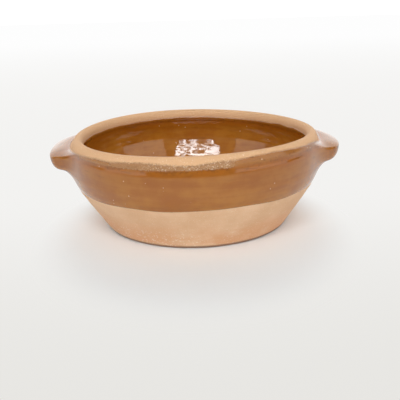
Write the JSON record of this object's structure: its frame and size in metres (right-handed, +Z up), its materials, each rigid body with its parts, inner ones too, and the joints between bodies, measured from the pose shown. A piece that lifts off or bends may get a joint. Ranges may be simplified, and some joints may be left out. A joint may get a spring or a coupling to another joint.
{
  "type": "bowl",
  "caption": "Small round earthenware oven dish with two side lugs, honey-brown glaze inside and on the upper outside, and a bare clay rim and base.",
  "frame": {"origin": "centre of the flat base, on the surface it rests on", "axes": "+Z up out of the bowl's mouth, +X from the left lug to the right lug, -Y towards the viewer of the picture"},
  "size_m": [0.1913, 0.1636, 0.0606],
  "materials": {
    "glazed_clay": "gloss"
  },
  "bodies": {
    "root": {"bowl": "glazed_clay"}
  },
  "joints": []
}
